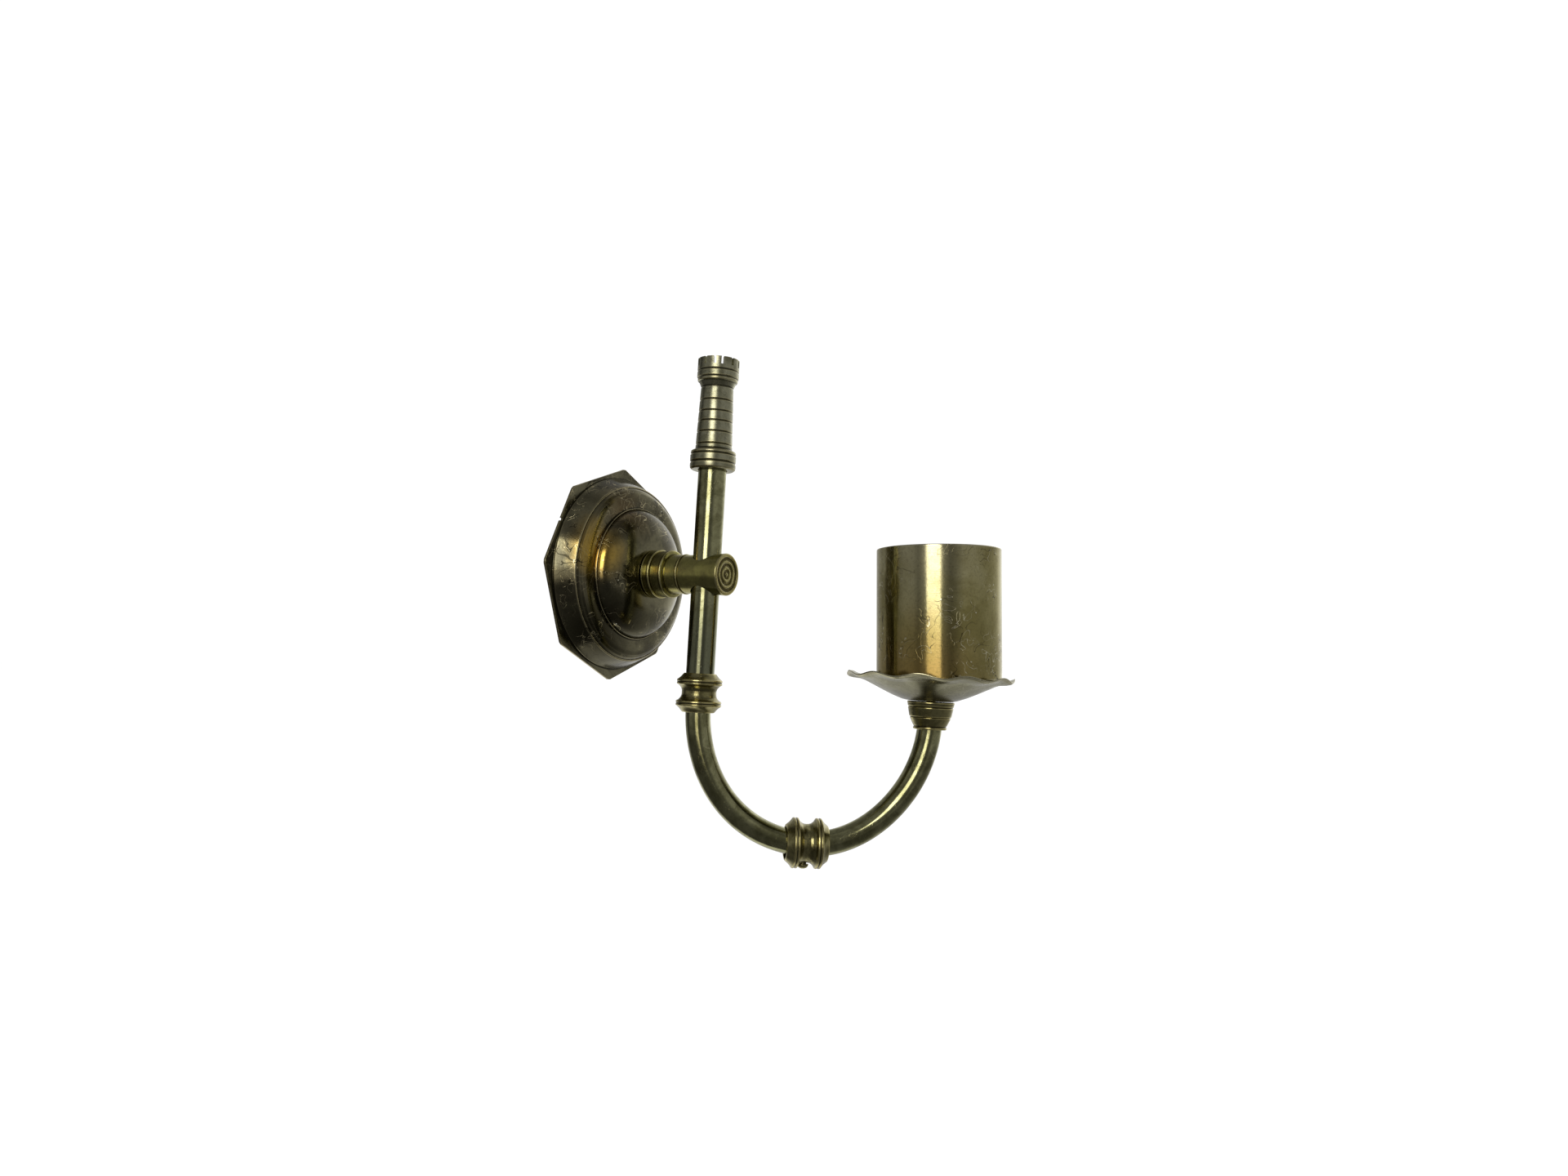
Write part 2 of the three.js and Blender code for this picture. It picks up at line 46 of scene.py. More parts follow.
camera = bpy.data.objects.new("camera", camera_data)
bpy.context.scene.collection.objects.link(camera)
yaw, pitch, roll = radians(-59.023), radians(4.0365), radians(3.17)
ahead = Vector((-sin(yaw) * cos(pitch), cos(yaw) * cos(pitch), sin(pitch)))
level = ahead.cross(Vector((0, 0, 1))).normalized()
upright = level.cross(ahead)
side = cos(roll) * level + sin(roll) * upright
top = cos(roll) * upright - sin(roll) * level
turn = Matrix((side, top, -ahead)).transposed().to_4x4()
camera.matrix_world = Matrix.Translation((-0.410567, -0.334054, -0.039094)) @ turn
bpy.context.scene.camera = camera

# ---- stage and light ----
# A plain white floor and surround, a soft window light beside the camera with its sill below it,
# and a dim room for the metal to mirror. Only shiny surfaces see the room.
bpy.context.scene.view_settings.view_transform = "Standard"


def linear(hex_colour):
    """A colour written as sRGB hex, in linear light."""
    values = []
    for start in (1, 3, 5):
        value = int(hex_colour[start:start + 2], 16) / 255
        values.append(value / 12.92 if value <= 0.04045 else ((value + 0.055) / 1.055) ** 2.4)
    return (*values, 1.0)


def add(tree, kind, links=None, **settings):
    """Adds a shader node with its settings, and links or fills its inputs."""
    node = tree.nodes.new("ShaderNode" + kind)
    for name, value in settings.items():
        setattr(node, name, value)
    for name, value in (links or {}).items():
        if isinstance(value, bpy.types.NodeSocket):
            tree.links.new(value, node.inputs[name])
        else:
            node.inputs[name].default_value = value
    return node


room = bpy.data.worlds.new("room")
bpy.context.scene.world = room
room.use_nodes = True
room.cycles.sampling_method = "NONE"
tree = room.node_tree
tree.nodes.clear()
direction = add(tree, "TexCoord").outputs["Generated"]
axes = add(tree, "SeparateXYZ", {"Vector": direction}).outputs
# The bearing is 0 straight out from the wall and grows towards +X. share is its part of the turn.
out_of_wall = add(tree, "Math", {0: axes["Y"], 1: -1.0}, operation="MULTIPLY").outputs[0]
bearing = add(tree, "Math", {0: axes["X"], 1: out_of_wall}, operation="ARCTAN2").outputs[0]
share = add(tree, "MapRange", {"Value": bearing, "From Min": -pi, "From Max": pi}).outputs[0]
# Grey of the room's level, low and high parts at each bearing in degrees, without the window.
level_bands = (
    (-180, 0.04), (-163, 0.04), (-150, 0.17), (-130, 0.24), (-113, 0.22), (-104, 0.13),
    (-97, 0.2), (-57, 0.2), (-46, 0.11), (-36, 0.17), (-20, 0.33), (20, 0.29),
    (45, 0.34), (62, 0.48), (78, 0.9), (95, 1.2), (112, 0.9), (135, 0.45), (165, 0.25),
)
low_bands = (
    (-180, 0.08), (-165, 0.07), (-100, 0.08), (0, 0.1), (37, 0.15), (62, 0.26),
    (80, 0.5), (110, 0.6), (135, 0.7), (150, 1.0), (165, 0.5), (178, 0.1),
)
high_bands = (
    (-180, 0.12), (-140, 0.14), (-95, 0.22), (-50, 0.16), (30, 0.13),
    (62, 0.35), (85, 0.45), (110, 0.35), (150, 0.15),
)
room_parts = []
for bands in (level_bands, low_bands, high_bands):
    round_about = add(tree, "ValToRGB", {"Fac": share})
    ramp = round_about.color_ramp
    while len(ramp.elements) < len(bands):
        ramp.elements.new(0.5)
    for element, (degrees, grey) in zip(ramp.elements, bands):
        element.position = (degrees + 180) / 360
        element.color = (grey, grey, grey, 1)
    room_parts.append(round_about.outputs["Color"])
below = add(tree, "MapRange", {
    "Value": axes["Z"], "From Min": -0.08, "From Max": -0.3
}, interpolation_type="SMOOTHSTEP").outputs[0]
above = add(tree, "MapRange", {
    "Value": axes["Z"], "From Min": 0.45, "From Max": 0.75
}, interpolation_type="SMOOTHSTEP").outputs[0]
lower_room = add(tree, "MixRGB", {
    "Fac": below, "Color1": room_parts[0], "Color2": room_parts[1]
}).outputs[0]
whole_room = add(tree, "MixRGB", {
    "Fac": above, "Color1": lower_room, "Color2": room_parts[2]
}).outputs[0]
mirrored = add(tree, "Background", {"Color": whole_room, "Strength": 1.0})
plain = add(tree, "Background", {"Color": (1, 1, 1, 1), "Strength": 1.08})
paths = add(tree, "LightPath")
both = add(tree, "MixShader", {
    "Fac": paths.outputs["Is Glossy Ray"],
    1: plain.outputs[0],
    2: mirrored.outputs[0],
})
add(tree, "OutputWorld", {"Surface": both.outputs[0]})

MM = 0.001
LIT_POINT = Vector((0, -0.05, -0.03))


def area_light(name, bearing, height, distance, width, tall, radiance, colour):
    """A soft panel that faces the sconce. bearing is its angle from straight out of the wall and
    height its angle above level, in degrees; the rest is in metres, and radiance is its glow."""
    data = bpy.data.lights.new(name, "AREA")
    data.shape = "RECTANGLE"
    data.size = width
    data.size_y = tall
    data.energy = radiance * pi * width * tall
    data.color = linear(colour)[:3]
    light = bpy.data.objects.new(name, data)
    bpy.context.scene.collection.objects.link(light)
    turn, rise = radians(bearing), radians(height)
    away = Vector((sin(turn) * cos(rise), -cos(turn) * cos(rise), sin(rise)))
    light.matrix_world = (
        Matrix.Translation(LIT_POINT + away * distance)
        @ away.to_track_quat("Z", "Y").to_matrix().to_4x4()
    )
    light.visible_camera = False


area_light(
    "window", bearing=-74.5, height=17, distance=3.0, width=1.42, tall=1.5, radiance=3.6,
    colour="#fffdf8",
)
area_light(
    "window_sill", bearing=-74, height=-3.5, distance=3.0, width=1.35, tall=0.68, radiance=1.35,
    colour="#fff6e4",
)

FLOOR_HEIGHT = -0.36
FLOOR_REACH = 12.0
floor_mesh = bpy.data.meshes.new("floor")
floor_mesh.from_pydata(
    [
        (x * FLOOR_REACH, y * FLOOR_REACH, FLOOR_HEIGHT)
        for x, y in ((-1, -1), (1, -1), (1, 1), (-1, 1))
    ],
    [],
    [(0, 1, 2, 3)],
)
floor = bpy.data.objects.new("floor", floor_mesh)
bpy.context.scene.collection.objects.link(floor)
# White paper: flat and without shine.
paper = bpy.data.materials.new("white_paper_floor")
paper.use_nodes = True
shader = paper.node_tree.nodes["Principled BSDF"]
shader.inputs["Base Color"].default_value = linear("#ffffff")
shader.inputs["Roughness"].default_value = 0.9
floor_mesh.materials.append(paper)
floor.visible_glossy = False

# ---- rose ----
# The octagonal wall plate with its stepped dome, cast in brass, turned on its face and darkened.
# It is hollow behind, with two lugs for the strap, and a saw cut runs in from its border.
ROSE_RADIUS = 47.1
ROSE_TURN = -1.0
ROSE_RIM = 1.0
DOME_RADIUS = 42.1
ROSE_SIDES = 192
STUD_HOLE = 4.2
LUG_RADIUS = 3.6
LUG_AT = 31
# Turns a piece's own Z to point straight out of the wall.
WALL = Matrix.Rotation(pi / 2, 4, "X")


def eased(profile, ease=0.14, reach=0.5):
    """Rounds the corners of a (radius, height) profile over ease millimetres. Each point also says
    how sharp it is, from ridge 1 to groove -1, which fades out over reach millimetres."""
    nearly_straight = radians(14)
    full_ridge = pi / 3
    long_side = 2.5 * reach
    points = [Vector(point) for point in profile]
    closed = (points[0] - points[-1]).length < 1e-6
    if closed:
        points.pop()
    rounded = []
    for i, corner in enumerate(points):
        if not closed and i in (0, len(points) - 1):
            rounded.append((corner.x, corner.y, 0.0))
            continue
        before = points[i - 1] - corner
        after = points[(i + 1) % len(points)] - corner
        bend = atan2(after.x * before.y - after.y * before.x, -before.dot(after))
        if abs(bend) < nearly_straight:
            rounded.append((corner.x, corner.y, 0.0))
            continue
        back = before.normalized()
        on = after.normalized()
        cut = min(ease, 0.4 * before.length, 0.4 * after.length)
        if before.length > long_side:
            rounded.append((*(corner + back * reach), 0.0))
        sharpness = max(-1.0, min(1.0, bend / full_ridge))
        for t in (0, 0.33, 0.67, 1):
            spot = corner + back * cut * (1 - t) ** 2 + on * cut * t ** 2
            rounded.append((*spot, sharpness))
        if after.length > long_side:
            rounded.append((*(corner + on * reach), 0.0))
    if closed:
        rounded.append(rounded[0])
    return rounded


def solid(name, points, faces, ridges):
    """A closed mesh in the piece's own frame, in millimetres."""
    mesh = bpy.data.meshes.new(name)
    mesh.from_pydata(points, [], faces)
    mesh.attributes.new("ridge", "FLOAT", "POINT").data.foreach_set("value", ridges)
    piece = bpy.data.objects.new(name, mesh)
    bpy.context.scene.collection.objects.link(piece)
    return piece


def lathe(name, profile, sides=96, shape=None):
    """A piece turned about its own Z. shape may move each point, given radius, height and angle."""
    rounded = eased(profile)
    closed = rounded[0] == rounded[-1]
    if closed:
        rounded.pop()
    points, ridges, rings = [], [], []
    for radius, height, ridge in rounded:
        count = 1 if radius < 1e-4 else sides
        rings.append([len(points) + k for k in range(count)])
        for k in range(count):
            angle = 2 * pi * k / sides
            r, h = shape(radius, height, angle) if shape else (radius, height)
            points.append((r * cos(angle), r * sin(angle), h))
            ridges.append(ridge)
    pairs = list(zip(rings, rings[1:]))
    if closed:
        pairs.append((rings[-1], rings[0]))
    faces = []
    for low, high in pairs:
        for k in range(sides):
            n = (k + 1) % sides
            corners = (low[k % len(low)], low[n % len(low)], high[n % len(high)], high[k % len(high)])
            face = list(dict.fromkeys(corners))
            if len(face) > 2:
                faces.append(face)
    return solid(name, points, faces, ridges)


def block(size, place):
    """A box, as a cutter, in millimetres."""
    x, y, z = (value / 2 for value in size)
    points = [(i * x, j * y, k * z) for i in (-1, 1) for j in (-1, 1) for k in (-1, 1)]
    faces = [(0, 1, 3, 2), (4, 6, 7, 5), (0, 4, 5, 1), (2, 3, 7, 6), (0, 2, 6, 4), (1, 5, 7, 3)]
    piece = solid("cutter", points, faces, [0.0] * 8)
    piece.matrix_world = place
    return piece


def combine(piece, others, operation="DIFFERENCE"):
    """Cuts the others out of a piece, or joins them to it, and removes them."""
    for other in others:
        modifier = piece.modifiers.new("cut", "BOOLEAN")
        modifier.operation = operation
        modifier.solver = "EXACT"
        modifier.object = other
    graph = bpy.context.evaluated_depsgraph_get()
    mesh = bpy.data.meshes.new_from_object(piece.evaluated_get(graph))
    piece.modifiers.clear()
    piece.data = mesh
    for other in others:
        bpy.data.objects.remove(other)


def seat(piece, place, material, lay=None):
    """Puts a finished piece in its place, in metres, with its material. Its own millimetres stay as
    the attribute lay, which the patterns follow."""
    sharp_edge = radians(38)
    mesh = piece.data
    own = lay or [vertex.co for vertex in mesh.vertices]
    flat = [value for point in own for value in point]
    mesh.attributes.new("lay", "FLOAT_VECTOR", "POINT").data.foreach_set("vector", flat)
    mesh.transform(place @ Matrix.Scale(MM, 4))
    mesh.shade_smooth()
    mesh.set_sharp_from_angle(angle=sharp_edge)
    mesh.materials.clear()
    mesh.materials.append(material)
    normals = piece.modifiers.new("normals", "WEIGHTED_NORMAL")
    normals.keep_sharp = True


def aged_brass(
    name, bright, dull, grime, worn,
    roughness=0.2, cloud=14.0, rings=0.5, pits=0.3, scuffs=0.3, zones=(), metres=False,
):
    """Brass with a dark patina: bright shows where it is thin, dull where it is thick, grime in the
    grooves and worn on the ridges. cloud is the width of its patches in millimetres, and rings,
    pits and scuffs are strengths. A zone is a place, its reach, its colour and its share. metres
    is for a piece without the attribute lay."""
    material = bpy.data.materials.new(name)
    material.use_nodes = True
    tree = material.node_tree
    shader = tree.nodes["Principled BSDF"]
    if metres:
        where = add(tree, "TexCoord").outputs["Object"]
        where = add(
            tree, "VectorMath", {0: where, 1: (1000, 1000, 1000)}, operation="MULTIPLY"
        ).outputs[0]
    else:
        where = add(tree, "Attribute", attribute_name="lay").outputs["Vector"]
    ridge = add(tree, "Attribute", attribute_name="ridge").outputs["Fac"]
    axes = add(tree, "SeparateXYZ", {"Vector": where}).outputs
    flat = add(tree, "CombineXYZ", {"X": axes["X"], "Y": axes["Y"]}).outputs[0]
    radius = add(tree, "VectorMath", {0: flat}, operation="LENGTH").outputs["Value"]
    patches = add(
        tree, "TexNoise",
        {"Vector": where, "Scale": 1 / cloud, "Detail": 5.0, "Roughness": 0.62, "Distortion": 0.4},
    ).outputs["Fac"]
    thick = add(
        tree, "MapRange", {"Value": patches, "From Min": 0.4, "From Max": 0.62},
        interpolation_type="SMOOTHSTEP",
    ).outputs[0]
    # Mottling is in specks of a millimetre and less.
    mottle = add(
        tree, "TexNoise", {"Vector": where, "Scale": 0.9, "Detail": 4.0, "Roughness": 0.7}
    ).outputs["Fac"]
    colour = add(tree, "MixRGB", {
        "Fac": thick, "Color1": linear(bright), "Color2": linear(dull)
    }).outputs[0]
    for place, reach, shade, most in zones:
        away = add(tree, "VectorMath", {0: where, 1: place}, operation="DISTANCE").outputs["Value"]
        ragged = add(
            tree, "Math", {0: patches, 1: reach, 2: away}, operation="MULTIPLY_ADD"
        ).outputs[0]
        share = add(tree, "MapRange", {
            "Value": ragged, "From Min": 1.5 * reach, "From Max": 0.6 * reach, "To Max": most
        }, interpolation_type="SMOOTHSTEP").outputs[0]
        colour = add(tree, "MixRGB", {
            "Fac": share, "Color1": colour, "Color2": linear(shade)
        }).outputs[0]
    mottle_share = add(
        tree, "MapRange", {"Value": mottle, "From Min": 0.5, "From Max": 0.78, "To Max": 0.4}
    ).outputs[0]
    colour = add(tree, "MixRGB", {
        "Fac": mottle_share, "Color1": colour, "Color2": linear(grime)
    }).outputs[0]
    edge = add(tree, "MapRange", {
        "Value": ridge, "From Min": 0.15, "From Max": 0.8, "To Max": 0.8
    }).outputs[0]
    rub = add(tree, "Math", {0: edge, 1: mottle}, operation="MULTIPLY").outputs[0]
    rub = add(tree, "Math", {0: rub, 1: 1.6}, operation="MULTIPLY", use_clamp=True).outputs[0]
    colour = add(tree, "MixRGB", {
        "Fac": rub, "Color1": colour, "Color2": linear(worn)
    }).outputs[0]
    groove = add(tree, "MapRange", {
        "Value": ridge, "From Min": -0.1, "From Max": -0.7, "To Max": 0.85
    }).outputs[0]
    colour = add(tree, "MixRGB", {
        "Fac": groove, "Color1": colour, "Color2": linear(grime)
    }).outputs[0]
    # Scratches are thin wandering lines in loose groups, dark or bright. Real ones are under 0.1 mm
    # wide; these are drawn about 0.2 mm wide so they still show.
    group = add(tree, "TexNoise", {"Vector": where, "Scale": 0.06, "Detail": 2.0}).outputs["Fac"]
    grouped = add(tree, "MapRange", {
        "Value": group, "From Min": 0.46, "From Max": 0.56, "To Max": scuffs
    }).outputs[0]
    scratch_height = []
    for scale, at, shade in ((0.11, 0.5, grime), (0.17, 0.44, worn)):
        wander = add(
            tree, "TexNoise",
            {"Vector": where, "Scale": scale, "Detail": 1.5, "Roughness": 0.4, "Distortion": 1.2},
        ).outputs["Fac"]
        off_line = add(
            tree, "Math", {0: wander, 1: at, 2: 0.008}, operation="COMPARE"
        ).outputs[0]
        scratch = add(tree, "Math", {0: off_line, 1: grouped}, operation="MULTIPLY").outputs[0]
        colour = add(tree, "MixRGB", {
            "Fac": scratch, "Color1": colour, "Color2": linear(shade)
        }).outputs[0]
        scratch_height.append(scratch)
    # Nicks rubbed bright, half a millimetre across, in one in ten of the 3 mm cells.
    cells = add(tree, "TexVoronoi", {"Vector": where, "Scale": 0.33}).outputs
    spot = add(tree, "MapRange", {
        "Value": cells["Distance"], "From Min": 0.12, "From Max": 0.08
    }).outputs[0]
    chosen = add(tree, "SeparateColor", {"Color": cells["Color"]}).outputs[0]
    chosen = add(tree, "Math", {0: chosen, 1: 0.9}, operation="GREATER_THAN").outputs[0]
    nick = add(tree, "Math", {0: spot, 1: chosen}, operation="MULTIPLY").outputs[0]
    nick = add(tree, "Math", {0: nick, 1: scuffs}, operation="MULTIPLY").outputs[0]
    colour = add(tree, "MixRGB", {
        "Fac": nick, "Color1": colour, "Color2": linear("#f2ecd6")
    }).outputs[0]
    tree.links.new(colour, shader.inputs["Base Color"])
    # Turning marks are 0.1 to 0.3 mm apart: rings that follow the radius and the height.
    lines = add(tree, "CombineXYZ", {"X": radius, "Y": axes["Z"]}).outputs[0]
    marks = add(
        tree, "TexNoise",
        {"Vector": lines, "Scale": 3.2, "Detail": 3.0, "Roughness": 0.6},
        noise_dimensions="2D",
    ).outputs["Fac"]
    # Pits are a quarter to half a millimetre across, one to each 1.8 mm cell.
    pit_cells = add(tree, "TexVoronoi", {"Vector": where, "Scale": 0.55}).outputs["Distance"]
    pit = add(tree, "MapRange", {
        "Value": pit_cells, "From Min": 0.05, "From Max": 0.16, "To Min": -1.0, "To Max": 0.0
    }).outputs[0]
    height = add(tree, "Math", {0: marks, 1: rings}, operation="MULTIPLY").outputs[0]
    height = add(
        tree, "Math", {0: pit, 1: pits, 2: height}, operation="MULTIPLY_ADD"
    ).outputs[0]
    height = add(tree, "Math", {0: mottle, 1: 0.5, 2: height}, operation="MULTIPLY_ADD").outputs[0]
    for scratch in scratch_height:
        height = add(
            tree, "Math", {0: scratch, 1: -1.2, 2: height}, operation="MULTIPLY_ADD"
        ).outputs[0]
    bump = add(tree, "Bump", {"Height": height, "Strength": 0.35, "Distance": 0.00006})
    tree.links.new(bump.outputs[0], shader.inputs["Normal"])
    dullness = add(tree, "MapRange", {
        "Value": patches, "From Min": 0.35, "From Max": 0.7,
        "To Min": roughness - 0.03, "To Max": roughness + 0.07,
    }).outputs[0]
    tree.links.new(dullness, shader.inputs["Roughness"])
    shader.inputs["Metallic"].default_value = 1.0
    return material


def quarter(centre_radius, centre_height, radius_reach, height_reach, steps=14):
    """Points on a quarter ellipse from its widest point up to its highest."""
    return [
        (
            centre_radius + radius_reach * cos(i / steps * pi / 2),
            centre_height + height_reach * sin(i / steps * pi / 2),
        )
        for i in range(steps + 1)
    ]


rose_profile = [
    (STUD_HOLE, 19.9),
    *quarter(9.5, 12.3, 17.3, 7.6)[::-1],
    (26.8, 10.6),
    (33, 10.5),
    (36.4, 9.4),
    (38.4, 7),
    (39.8, 3.2),
    (40.3, 0),
    (ROSE_RADIUS, 0),
    (ROSE_RADIUS, ROSE_RIM),
    (DOME_RADIUS + 0.2, ROSE_RIM),
    (DOME_RADIUS, 1.3),
    (42.05, 1.8),
    (41.8, 2.3),
    (41.45, 2.8),
    (40.9, 4),
    (40.1, 5.8),
    (39.3, 7.7),
    (38.6, 9.3),
    (38.3, 9.8),
    (37.9, 10),
    (37.6, 9.85),
    (37.4, 10.1),
    (36.8, 10.8),
    (35.6, 11.55),
    (34, 12.05),
    (32, 12.25),
    (28.85, 12.15),
    (28.75, 12.9),
    (28.5, 13.2),
    (28.2, 12.9),
    *quarter(9.5, 12.3, 18.6, 9.1),
    (STUD_HOLE, 21.4),
    (STUD_HOLE, 19.9),
]


def octagon(radius, height, angle):
    """Draws the border out from the dome's circle to the octagon's outline."""
    if radius <= DOME_RADIUS:
        return radius, height
    share = (radius - DOME_RADIUS) / (ROSE_RADIUS - DOME_RADIUS)
    outline = ROSE_RADIUS * cos(pi / 8) / cos((angle - radians(ROSE_TURN)) % (pi / 4) - pi / 8)
    return DOME_RADIUS + share * (outline - DOME_RADIUS), height


rose = lathe("rose_shell", rose_profile, ROSE_SIDES, octagon)
saw_cut = block((8.5, 1.1, 8), Matrix.Translation((-42.25, 19.1, ROSE_RIM / 2)))
combine(rose, [saw_cut])
lugs = []
for up in (1, -1):
    lug = lathe("lug", [(0, 1.9), (LUG_RADIUS, 1.9), (LUG_RADIUS, 11.2), (0, 11.2)], 32)
    lug.matrix_world = Matrix.Translation((0, up * LUG_AT, 0))
    lugs.append(lug)
combine(rose, lugs, "UNION")
# Cast brass, turned smooth and darkened: it mirrors the window as a soft streak on each dome. Gold at
# the left is part thin patina and part a painted reflection of the window; brown patina at the upper
# left; painted shade, nearly black, at the lower left.
rose_brass = aged_brass(
    "darkened_cast_brass_painted_shade_and_reflection", "#847f64", "#5f5b48", "#2a271b", "#cfc39a", roughness=0.15, cloud=16,
    rings=0.4, pits=0.4, scuffs=0.8,
    zones=(
        # Gold on the side facing the window: part thin patina, part painted reflection of the window.
        ((-30, 7, 14), 17, "#c9a549", 0.85),
        ((-12, 26, 14), 18, "#6f572f", 0.5),
        # Near black at the lower left: painted shade.
        ((-22, -26, 12), 28, "#343021", 0.9),
    ),
)
seat(rose, WALL, rose_brass)
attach(rose, "wall_mount")
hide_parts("rose")

# ---- hanging strap and its screws ----
# A strip of zinc-plated steel across the hollow back, with a keyhole that drops over the wall screw.
# Two countersunk screws hold it to the rose's lugs.
# Zinc plating is pale grey with a faint spangle of a millimetre, and shines softly.
zinc = bpy.data.materials.new("zinc_plated_steel")
zinc.use_nodes = True
tree = zinc.node_tree
shader = tree.nodes["Principled BSDF"]
where = add(tree, "TexCoord").outputs["Object"]
spangle = add(tree, "TexNoise", {"Vector": where, "Scale": 900.0, "Detail": 3.0}).outputs["Fac"]
tone = add(tree, "MixRGB", {
    "Fac": spangle, "Color1": linear("#8f9294"), "Color2": linear("#b9bcbd")
})
tree.links.new(tone.outputs[0], shader.inputs["Base Color"])
zinc_rough = add(tree, "MapRange", {"Value": spangle, "To Min": 0.32, "To Max": 0.5}).outputs[0]
tree.links.new(zinc_rough, shader.inputs["Roughness"])
shader.inputs["Metallic"].default_value = 1.0


def plate(nodes, material):
    """Gives pieces that keep their first shape their material."""
    for node in nodes:
        for material_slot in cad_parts[node].material_slots:
            material_slot.material = material


plate(("hanging_strap", "strap_screw_upper", "strap_screw_lower"), zinc)
plate(("post_washer", "post_nut", "clamp_screw"), zinc)

# ---- post collar ----
# A turned brass ring that slips over the post's tail, between the rose's flat and the post. It has
# a thin bead at each end.
# Turned brass left yellow: a clear shine crossed by fine turning lines, with dark grooves and pale
# ridges.
turned_brass = aged_brass(
    "turned_yellow_brass", "#b5ae68", "#98915a", "#4a4122", "#ddd29a", roughness=0.2, cloud=9,
    rings=0.6, pits=0.15,
)
collar = lathe("post_collar_ring", [
    (STUD_HOLE, 21.7),
    (10.2, 21.7),
    (10.45, 22.1),
    (10.3, 22.6),
    (10.3, 24.9),
    (10.5, 25.2),
    (10.5, 25.7),
    (10.2, 26),
    (STUD_HOLE, 26),
    (STUD_HOLE, 21.7),
])
seat(collar, WALL, turned_brass)
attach(collar, "wall_mount")
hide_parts("post_collar")

# ---- post ----
# Turned from 22 mm bar: a shoulder with a bead, a plain waist, and an end face cut with fine rings.
# The stem passes through its cross bore, and its tail goes through the rose to the nut.
POST_END = 59.6
STEM_OFFSET = 48.9
STEM_BORE = 6.3
CLAMP_BORE = 2.1
post = lathe("post_bar", [
    (0, 13.2),
    (3.9, 13.2),
    (3.9, 26.3),
    (9.7, 26.3),
    (9.95, 26.7),
    (9.95, 30.9),
    (10.2, 31.2),
    (10.2, 31.7),
    (9.7, 32),
    (8.4, 32.3),
    (8.4, 38.3),
    (8.65, 38.5),
    (8.65, 38.9),
    (8.1, 39.2),
    (8.3, 39.7),
    (8.25, 49),
    (8.5, 54),
    (8.8, POST_END - 2.2),
    (8.9, POST_END - 0.4),
    (8.6, POST_END),
    (7.5, POST_END),
    (7.2, POST_END - 0.5),
    (6, POST_END - 0.5),
    (5.6, POST_END - 0.2),
    (5, POST_END - 0.2),
    (4.6, POST_END - 0.6),
    (3.4, POST_END - 0.6),
    (3, POST_END - 0.3),
    (2.4, POST_END - 0.3),
    (2, POST_END - 0.6),
    (1, POST_END - 0.6),
    (0.6, POST_END - 0.2),
    (0, POST_END - 0.2),
])
cross_bore = lathe("cutter", [(0, -20), (STEM_BORE, -20), (STEM_BORE, 20), (0, 20)], 64)
cross_bore.matrix_world = Matrix.Translation((0, 0, STEM_OFFSET)) @ Matrix.Rotation(pi / 2, 4, "X")
clamp_bore = lathe("cutter", [(0, 10), (CLAMP_BORE, 10), (CLAMP_BORE, 47), (0, 47)], 32)
combine(post, [cross_bore, clamp_bore])
seat(post, WALL, turned_brass)
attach(post, "wall_mount")
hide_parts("post")

# ---- stem ----
# A straight length of 12 mm drawn brass tube that turns in the post. A groove inside the post takes
# the tip of the clamp screw, so the stem can't drop.
ARM_TURN = -51.5
ARM = Matrix.Translation((0, -STEM_OFFSET * MM, 0)) @ Matrix.Rotation(radians(ARM_TURN), 4, "Z")
TUBE_RADIUS = 6.0
TUBE_BORE = 4.8
GROOVE_RADIUS = 5
GROOVE_HALF = 2.2
STEM_TOP = 51.4
KNOP_CENTRE = -49.95
# Air between two pieces that are screwed or soldered together.
AIR = 0.3
stem = lathe("stem", [
    (TUBE_BORE, KNOP_CENTRE + AIR),
    (TUBE_RADIUS, KNOP_CENTRE + AIR),
    (TUBE_RADIUS, -GROOVE_HALF),
    (GROOVE_RADIUS, -GROOVE_HALF),
    (GROOVE_RADIUS, GROOVE_HALF),
    (TUBE_RADIUS, GROOVE_HALF),
    (TUBE_RADIUS, STEM_TOP),
    (TUBE_BORE, STEM_TOP),
    (TUBE_BORE, KNOP_CENTRE + AIR),
], 72)
# Drawn tube is smooth, so it mirrors the room in long narrow stripes. Its patina is olive, and its
# colour is greyer and darker low on the stem.
tube_brass = aged_brass(
    "drawn_brass_tube", "#acaa80", "#87855e", "#3a3521", "#d3cba0", roughness=0.12, cloud=10,
    rings=0.1, pits=0.8,
    zones=(((0, 0, -34), 36, "#777a64", 0.8),),
)
seat(stem, ARM, tube_brass)
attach(stem, "arm")
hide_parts("stem_tube")

